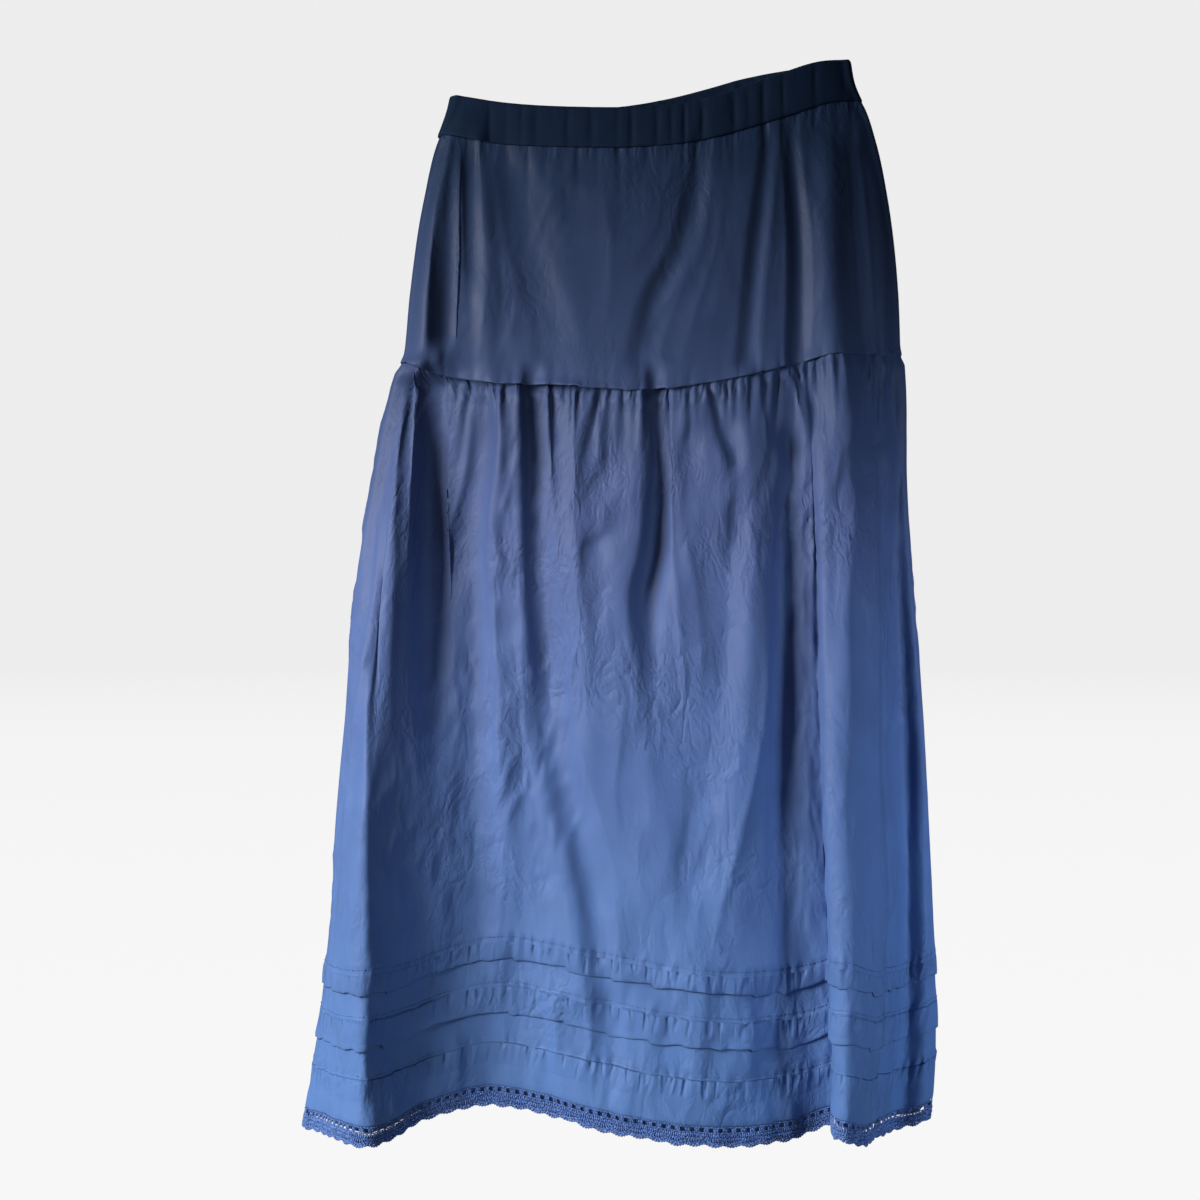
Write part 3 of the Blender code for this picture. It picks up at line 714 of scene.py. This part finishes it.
tier = {
    "columns": {"front": 342, "back": 280},
    "thickness": 0.35,
    "puff": 3.4,    # how far the gathers stand out under the yoke
    "crinkleSeed": {"front": 200, "back": 300},
    # how far below the yoke seam
    "gatherRows": [-3, 0, 1.5, 3.5, 6, 9, 12.5, 16.5, 21, 26, 31.5, 37.5, 44, 51, 58, 65, 73, 81, 90, 99],
    "middleRows": 72,
    # the two tucks: up from the hem, how far out, how much of a loose edge
    "upperTuck": [
        (150, 0, 0), (138, 0.2, 0), (130, 0.6, 0), (126, 1.1, 0), (124, 1, 0), (120, 1.5, 0.25),
        (114, 1.8, 0.6), (108.5, 1.9, 0.95), (105.8, 1.8, 1), (105.1, 1.5, 1), (105.8, 1.2, 1),
        (112, 1, 0.55), (120, 0.8, 0.1), (124, 0.4, 0), (119, 0, 0), (111, 0, 0), (103, 0, 0),
    ],
    "lowerTuck": [
        (95, 0.2, 0), (90, 0.6, 0), (86.5, 1, 0), (82, 1.5, 0.25), (75, 1.8, 0.55), (68, 2, 0.8),
        (62.5, 2, 0.95), (60.7, 1.9, 1), (60.1, 1.55, 1), (60.8, 1.2, 1), (69, 1, 0.6), (79, 0.8, 0.1),
        (86, 0.4, 0), (80, 0, 0), (70, 0, 0), (60, 0, 0), (53, 0, 0),
    ],
    # the last rows are the hem's inner layer, which reaches down behind the lace's holes
    "hem": [
        (46, 0.1, 0), (41, 0.3, 0), (38, -0.1, 0), (35, 0.35, 0), (28, 0.5, 0), (20, 0.5, 0), (12, 0.5, 0),
        (5, 0.45, 0), (1.2, 0.3, 0), (0, -0.1, 0),
    ],
    "underlay": [(-1.6, -2), (-8.1, -4.3), (-8.5, -4.6), (-8.1, -4.9), (0, -4.4), (10, -2.6), (24, -1.3),
                 (38, -0.8)],
    "stitchLines": [124, 86, 38],
    # the puckers along each line of stitches
    "stitchPuckers": {"spacing": 9, "depth": 1.1, "above": 4.5, "below": 10, "groove": 0.45, "seed": 31},
}


def tierRelief(half, grid):
    down = -grid["z"]
    below = down - grid["yoke"]
    up = grid["hem"] - down
    free = softStep(below, 0, 60)
    folds = gatherRelief(half, grid["across"], below)
    folds += puckerRelief(puckers[half]["tierFine"], grid["across"], below, 5) * softStep(below, -1, 6)
    folds += creaseRelief(tierCreases[half], grid["across"], down)
    crumpled = crinkle(grid["along"], down, tier["crinkleSeed"][half])
    folds += crumpled * (0.35 + 0.65 * free) * (1 - 0.3 * softStep(-up, -160, -120))
    kind = tier["stitchPuckers"]
    seed = kind["seed"]
    for n, line in enumerate(tier["stitchLines"]):
        near = (up - line) / 1.3
        uneven = smoothNoise(grid["along"] / 21 + 0.01 * up, 7.0 * n, seed)
        turn = grid["along"] / kind["spacing"] + 0.9 * uneven
        strong = 0.6 + 0.55 * smoothNoise(grid["along"] / 17, 5.0 * n, seed + 1)
        reach = np.where(up > line, kind["above"], kind["below"])
        fade = np.exp(-((up - line + 2) / reach) ** 2)
        folds += kind["depth"] * strong * np.cos(2 * math.pi * turn) * fade
        folds -= kind["groove"] * np.exp(-near * near)
    pulled = smoothNoise(grid["along"] / 13 + up / 60, up / 34, seed + 2)
    folds += 1.5 * pulled * softStep(-up, -150, -100)
    swell = tier["puff"] * softStep(below, 0, 10) * (1 - 0.75 * softStep(below, 60, 320))
    return folds, swell


def underlay(below):
    # it is shorter near the two sides
    def downOf(front, across):
        shown = 0.7 + 0.3 * softStep(across, 0.1, 0.24) * (1 - softStep(across, 0.8, 0.88))
        return seamDown("hem", front, across) + (below * shown if below > 0 else below)
    return downOf


def tierRows():
    seam, tuck = level("yoke", tier["gatherRows"][-1]), level("hem", -tier["upperTuck"][0][0])
    rows = [(level("yoke", below), -0.4 if below < 0 else 0.0, 0) for below in tier["gatherRows"]]
    rows += [(between(seam, tuck, n / tier["middleRows"]), 0.0, 0) for n in range(1, tier["middleRows"])]
    for part in ("upperTuck", "lowerTuck", "hem"):
        rows += [(level("hem", -up), out, loose) for up, out, loose in tier[part]]
    rows += [(underlay(-up), out, 0) for up, out in tier["underlay"]]
    return rows


for half in ("front", "back"):
    levels = [level("yoke", 200), level("hem", -300), level("hem", -60), level("hem", 0)]
    shares = evenShares(half, tier["columns"][half], levels)
    points, grid = panelPoints(half, shares, tierRows(), tierRelief)
    up = grid["hem"] + grid["z"]
    below = -grid["z"] - grid["yoke"]
    for line in tier["stitchLines"]:
        below = np.where(up < line, line - up, below)
    piece = clothPiece(f"lowerTier_{half}", half, points, tier["thickness"], skirtCloth,
                       grid["along"], below)
    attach(piece, "root")
    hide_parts(f"tier_{half}")

bandHeight = 35

yoke = {
    "columns": {"front": 300, "back": 250},
    "thickness": 0.45,
    "rows": 74,
    "hidden": 3,    # how far it goes up into the waistband
    "crinkleSeed": {"front": 400, "back": 500},
    # its lower edge: down from the seam, out, how loose
    "edge": [(-9, 0.05, 0), (-6, 0.25, 0), (-3, 0.75, 0.15), (-1, 1, 0.4), (0.3, 0.95, 0.4),
             (0.8, 0.45, 0.4)],
}


def yokeRelief(half, grid):
    down = -grid["z"]
    fromBand = down - grid["bandTop"] - bandHeight
    toSeam = grid["yoke"] - down
    folds = creaseRelief(yokeCreases[half], grid["across"], down)
    folds += puckerRelief(puckers[half]["underBand"], grid["across"], fromBand, 6)
    folds += puckerRelief(puckers[half]["overSeam"], grid["across"], toSeam, 4)
    folds += 0.3 * crinkle(grid["along"], down, yoke["crinkleSeed"][half])
    return folds, np.zeros_like(folds)


for half in ("front", "back"):
    levels = [level("yoke", -150), level("yoke", -60), level("yoke", 0)]
    shares = evenShares(half, yoke["columns"][half], levels)
    top, bottom = level("bandTop", bandHeight - yoke["hidden"]), level("yoke", yoke["edge"][0][0])
    rows = [(between(top, bottom, n / yoke["rows"]), 0.0, 0) for n in range(yoke["rows"])]
    rows += [(level("yoke", below), out, loose) for below, out, loose in yoke["edge"]]
    points, grid = panelPoints(half, shares, rows, yokeRelief)
    below = -grid["z"] - grid["bandTop"] - bandHeight
    piece = clothPiece(f"hipYoke_{half}", half, points, yoke["thickness"], skirtCloth,
                       grid["along"], below)
    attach(piece, "root")
    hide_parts(f"yoke_{half}")

band = {
    "columns": {"front": 300, "back": 260},
    "thickness": 0.45,
    "crinkleSeed": {"front": 600, "back": 700},
    # the casing, from its seam up the outside, over the top and down inside: down, out
    "loop": [(35.6, 0.7), (35, 1.4), (33, 1.9), (30, 2.2), (26, 2.5), (22, 2.6), (18, 2.6), (14, 2.6),
             (10, 2.5), (6, 2.4), (3, 2.2), (1.2, 1.9), (0.2, 1.4), (0, 0.9), (0.4, 0.4), (2, 0.1),
             (6, 0), (14, -0.1), (24, 0), (34, 0.1)],
}


def bandRelief(half, grid):
    down = -grid["z"]
    inside = down - grid["bandTop"]
    middle = 0.55 + 0.45 * softStep(inside, 0, 12) * (1 - 0.6 * softStep(inside, 24, 35))
    folds = puckerRelief(puckers[half]["band"], grid["across"], abs(inside - 18) * 0.7, 3) * middle
    folds += 0.3 * crinkle(grid["along"], down * 1.4, band["crinkleSeed"][half])
    folds -= 0.5 * np.exp(-((inside - 31) / 1.2) ** 2)
    return folds, np.zeros_like(folds)


for half in ("front", "back"):
    shares = evenShares(half, band["columns"][half], [level("bandTop", 18), level("bandTop", bandHeight)])
    rows = [(level("bandTop", down), out, 0) for down, out in band["loop"][::-1]]
    points, grid = panelPoints(half, shares, rows, bandRelief)
    below = -grid["z"] - grid["bandTop"]
    piece = clothPiece(f"waistbandCasing_{half}", half, points, band["thickness"], bandCloth,
                       grid["along"], below)
    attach(piece, "root")
    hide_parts(f"waistband_{half}")


def threadMaterial(name, colour, paintedShadeColour):
    # matt thread with random dark speckles, painted shade that stands for the deep parts of the crochet
    finish = {"Roughness": 0.75, "Sheen Weight": 0.05, "Specular IOR Level": 0.1}
    material, tree, shader = newMaterial(name, finish)
    speckle = noise(tree, addNode(tree, "TexCoord", {}).outputs["Object"], 700, 3)
    tint = colourRamp(tree, speckle, [(0.35, paintedShadeColour), (0.65, colour)])
    tree.links.new(tint, shader.inputs["Base Color"])
    tree.links.new(bumped(tree, speckle, 0.6, 0.0003), shader.inputs["Normal"])
    return material


# the second colour of each thread is the dark of its speckles, painted shade
laceThread = threadMaterial("lace thread", (0.125, 0.230, 0.570), (0.030, 0.064, 0.200))
sewingThread = threadMaterial("sewing thread", (0.070, 0.142, 0.360), (0.055, 0.115, 0.300))

# One repeat of the crochet edging: x along the hem, z up, y into the cloth. All in millimetres
lace = {
    "repeat": 15.6,
    "drop": 17.5,
    "columns": 900,
    "seed": 81,
    "chainPlaces": [1.3, 3.9, 6.5, 9.1, 11.7, 14.3],
    "chainDowns": [0.9, 5.3],    # under the hem, and under the ladder of holes
    "posts": [0.1, 1.4, 2.7, 7.9, 9.2, 10.5],
    "chainStitch": (1.55, 0.62, 90, 0.6),    # half length, half width, lean in degrees, depth
    "post": (3.1, 2.1, 0.72, 0, 0.6),    # down, then as above
    # the dense part: x, down, half length, half width, lean in degrees
    "stitches": [
        (0.9, 7.4, 1.9, 0.95, 8), (2.6, 7.6, 1.9, 0.9, -14), (4.3, 7.3, 1.9, 0.95, 12),
        (6, 7.6, 1.9, 0.9, -8), (7.8, 7.3, 2, 0.95, 2), (9.6, 7.6, 1.9, 0.9, 10),
        (11.3, 7.3, 1.9, 0.95, -12), (13, 7.6, 1.9, 0.9, 14), (14.7, 7.4, 1.9, 0.95, -6),
        (1.4, 10.2, 2.1, 0.95, 48), (3.2, 10.7, 2.2, 0.95, 34), (5.2, 11, 2.3, 0.95, 18),
        (7.2, 11.2, 2.3, 1, 4), (9.1, 11.1, 2.3, 0.95, -10), (11, 10.8, 2.2, 0.95, -26),
        (12.9, 10.3, 2.1, 0.95, -40), (14.7, 9.9, 1.9, 0.95, -56), (3, 13.1, 1.9, 0.95, 62),
        (5.1, 13.9, 2, 0.95, 78), (7.8, 14.2, 2, 1, 90), (10.4, 14, 2, 0.95, 102),
        (12.6, 13.2, 1.9, 0.95, 118), (0.6, 12.3, 1.5, 0.95, 90), (15, 12.3, 1.4, 0.95, 90),
    ],
    "edge": [(2, 14.8, 1.3), (4.2, 15.6, 1.35), (6.6, 16.1, 1.4), (9, 16.1, 1.4), (11.3, 15.6, 1.35),
             (13.5, 14.9, 1.3), (15.4, 14.4, 1.2), (0.2, 14.4, 1.2)],
    # the flat ground behind it: x, down, half length, half width
    "ground": [(1.6, 9.9, 4.4, 2.4), (4.9, 10.8, 5.2, 2.3), (8, 11, 5.4, 2.3), (11.1, 10.8, 5.2, 2.3),
               (14.1, 9.9, 4.4, 2.4)],
}


def knob(x, down, halfLength, halfWidth, lean, depth=0.9, behind=0):
    # one stitch of thread, standing up along z before it leans
    bpy.ops.mesh.primitive_uv_sphere_add(
        segments=7, ring_count=4, radius=1, location=(x, behind, -down),
        rotation=(0, math.radians(lean), 0), scale=(halfWidth, depth, halfLength))
    return bpy.context.object


def joined(parts, name):
    bpy.ops.object.select_all(action="DESELECT")
    for part in parts:
        part.select_set(True)
    bpy.context.view_layer.objects.active = parts[0]
    bpy.ops.object.join()
    bpy.ops.object.transform_apply(location=True, rotation=True, scale=True)
    whole = bpy.context.object
    whole.name = name
    return whole


def repeated(piece, count, width):
    array = piece.modifiers.new("Repeats", "ARRAY")
    array.count = count
    array.use_relative_offset = False
    array.use_constant_offset = True
    array.constant_offset_displace = (width, 0, 0)
    bpy.ops.object.select_all(action="DESELECT")
    piece.select_set(True)
    bpy.context.view_layer.objects.active = piece
    bpy.ops.object.modifier_apply(modifier=array.name)


def edgeGrid(half, shares, rows, relief):
    # points along a line of the cloth, and the way out of it
    points, grid = panelPoints(half, shares, rows, relief)
    return points, np.stack([grid["outX"], grid["outY"]], axis=2)


def layAlong(piece, length, upper, lower, drop, outward, seed):
    # the piece's x runs along the upper line, its z down to the lower line, and its y into the cloth
    mesh = piece.data
    place = np.empty(len(mesh.vertices) * 3)
    mesh.vertices.foreach_get("co", place)
    place = place.reshape(-1, 3)
    along = lengthAlong(upper)
    at = np.clip(place[:, 0] / length, 0, 1) * along[-1]
    share = -place[:, 2] / drop
    moved = np.empty_like(place)
    for n in range(3):
        high, low = np.interp(at, along, upper[:, n]), np.interp(at, along, lower[:, n])
        moved[:, n] = high + (low - high) * share
    uneven = 0.35 * smoothNoise(at / 5.3, share * 6, seed)
    moved[:, 2] += 1.1 * share * smoothNoise(at / 19, 4.5, seed + 1)
    for n in range(2):
        moved[:, n] += np.interp(at, along, outward[:, n]) * (uneven - place[:, 1])
    mesh.vertices.foreach_set("co", (moved * mm).reshape(-1))
    mesh.update()


def laceRepeat(name):
    chains = [(x, down) for down in lace["chainDowns"] for x in lace["chainPlaces"]]
    parts = [knob(x, down, *lace["chainStitch"]) for x, down in chains]
    parts += [knob(x, *lace["post"]) for x in lace["posts"]]
    parts += [knob(*stitch) for stitch in lace["stitches"]]
    parts += [knob(x, down, size, size, 0, 0.8) for x, down, size in lace["edge"]]
    parts += [knob(x, down, tall, wide, 0, 0.3, 0.55) for x, down, tall, wide in lace["ground"]]
    return joined(parts, name)


shares = np.linspace(0, 1, lace["columns"])
for half in ("front", "back"):
    upperPoints, outward = edgeGrid(half, shares, [(level("hem", 0.2), -0.15, 0)], tierRelief)
    lowerPoints, _ = edgeGrid(half, shares, [(level("hem", lace["drop"]), -0.15, 0)], tierRelief)
    count = round(lengthAlong(upperPoints[0])[-1] / lace["repeat"])
    piece = laceRepeat(f"laceEdging_{half}")
    repeated(piece, count, lace["repeat"])
    layAlong(piece, count * lace["repeat"], upperPoints[0], lowerPoints[0], lace["drop"], outward[0],
             lace["seed"])
    bpy.ops.object.shade_smooth()
    piece.data.materials.append(laceThread)
    piece.data.name = piece.name
    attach(piece, "root")
    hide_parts(f"lace_{half}")
    print("lace", half, count, "repeats", len(piece.data.polygons))

# Running stitches, in millimetres: how far up from the hem, and how far out of the cloth
stitching = {
    "length": 2.6,
    "pitch": 3.5,
    "thick": 0.22,
    "seed": 91,
    "lines": {"hem": (38.2, -0.15), "lowerTuck": (86.4, 1.35), "upperTuck": (124.4, 1.35)},
}
stitchPieces = {"front": [], "back": []}
for half in ("front", "back"):
    for line, (up, out) in stitching["lines"].items():
        points, outward = edgeGrid(half, shares, [(level("hem", -up), out, 0)], tierRelief)
        count = round(lengthAlong(points[0])[-1] / stitching["pitch"])
        bpy.ops.object.select_all(action="DESELECT")
        bpy.ops.mesh.primitive_cylinder_add(
            vertices=5, radius=1, depth=1, location=(stitching["pitch"] / 2, 0, 0),
            rotation=(0, math.pi / 2, 0), scale=(stitching["thick"], stitching["thick"], stitching["length"]))
        piece = joined([bpy.context.object], f"stitches_{line}_{half}")
        repeated(piece, count, stitching["pitch"])
        layAlong(piece, count * stitching["pitch"], points[0], points[0] - [0, 0, 1], 1, outward[0],
                 stitching["seed"])
        bpy.ops.object.shade_smooth()
        piece.data.materials.append(sewingThread)
        piece.data.name = piece.name
        stitchPieces[half].append(piece)
        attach(piece, "root")
print("stitches laid")

# The stage
studio = {
    "backdrop": (0.85, 0.85, 0.85),
    "floorShown": 0.93,
    "floorBounce": 0.06,
    "floorDown": 1.25,
    "floorFades": (2, 24),    # metres away, where it turns into the backdrop
    "roomLight": 0.075,
    # each light: place, what it points at, size, power, colour, how wide its beam is in degrees
    "key": ((-1.93, -1.15, 0.15), (-0.03, 0, -0.42), 1.1, 102, (1, 0.955, 0.89), 180),
    "side": ((1.45, -1.2, -0.4), (0.47, 0, -0.58), 0.35, 1.6, (0.7, 0.86, 1), 38),
    "back": ((0.5, 2.4, 0.5), (-0.03, 0, -0.42), 2.2, 44, (1, 1, 1), 180),
    "camera": {"place": (-0.043, -1.8, -0.425), "lens": 62.79, "sensor": 36},
}


def forCamera(tree, lit, seen, output):
    # the camera sees one shader, and light that bounces meets the other
    path = addNode(tree, "LightPath", {}).outputs["Is Camera Ray"]
    either = addNode(tree, "MixShader", {"Fac": path, 1: lit, 2: seen}).outputs["Shader"]
    tree.links.new(either, tree.nodes[output].inputs["Surface"])


bpy.ops.object.select_all(action="DESELECT")
bpy.ops.mesh.primitive_plane_add(size=120, location=(0, 0, -studio["floorDown"]))
floor = bpy.context.object
floor.name = "floor"
floorPaint, tree, floorShader = newMaterial("floor paint", {
    "Base Color": (0.2, 0.2, 0.2, 1),
    "Roughness": 1,
    "Specular IOR Level": 0,
    "Emission Color": (1, 1, 1, 1),
    "Emission Strength": studio["floorBounce"],
})
place = addNode(tree, "TexCoord", {}).outputs["Object"]
away = addNode(tree, "VectorMath", {0: place}, operation="LENGTH").outputs["Value"]
shown = remapped(tree, away, studio["floorFades"], (studio["floorShown"], studio["backdrop"][0]))
seen = addNode(tree, "Emission", {"Strength": shown}).outputs["Emission"]
forCamera(tree, floorShader.outputs["BSDF"], seen, "Material Output")
floor.data.materials.append(floorPaint)

world = bpy.data.worlds.new("studio")
bpy.context.scene.world = world
world.use_nodes = True
tree = world.node_tree
room = tree.nodes["Background"]
room.inputs["Color"].default_value = (0.96, 0.98, 1, 1)
room.inputs["Strength"].default_value = studio["roomLight"]
seen = addNode(tree, "Background", {"Color": (*studio["backdrop"], 1)}).outputs["Background"]
forCamera(tree, room.outputs["Background"], seen, "World Output")

for name in ("key", "side", "back"):
    spot, target, size, power, colour, beam = studio[name]
    bpy.ops.object.light_add(type="AREA", location=spot)
    lamp = bpy.context.object
    lamp.name = name + "Light"
    lamp.data.size = size
    lamp.data.energy = power
    lamp.data.color = colour
    lamp.data.spread = math.radians(beam)
    lamp.rotation_euler = (Vector(target) - Vector(spot)).to_track_quat("-Z", "Y").to_euler()

bpy.ops.object.camera_add(location=studio["camera"]["place"], rotation=(math.pi / 2, 0, 0))
camera = bpy.context.object
camera.data.sensor_width = studio["camera"]["sensor"]
camera.data.lens = studio["camera"]["lens"]
bpy.context.scene.camera = camera
bpy.context.scene.view_settings.view_transform = "Standard"
print("stage, lights and camera ready")
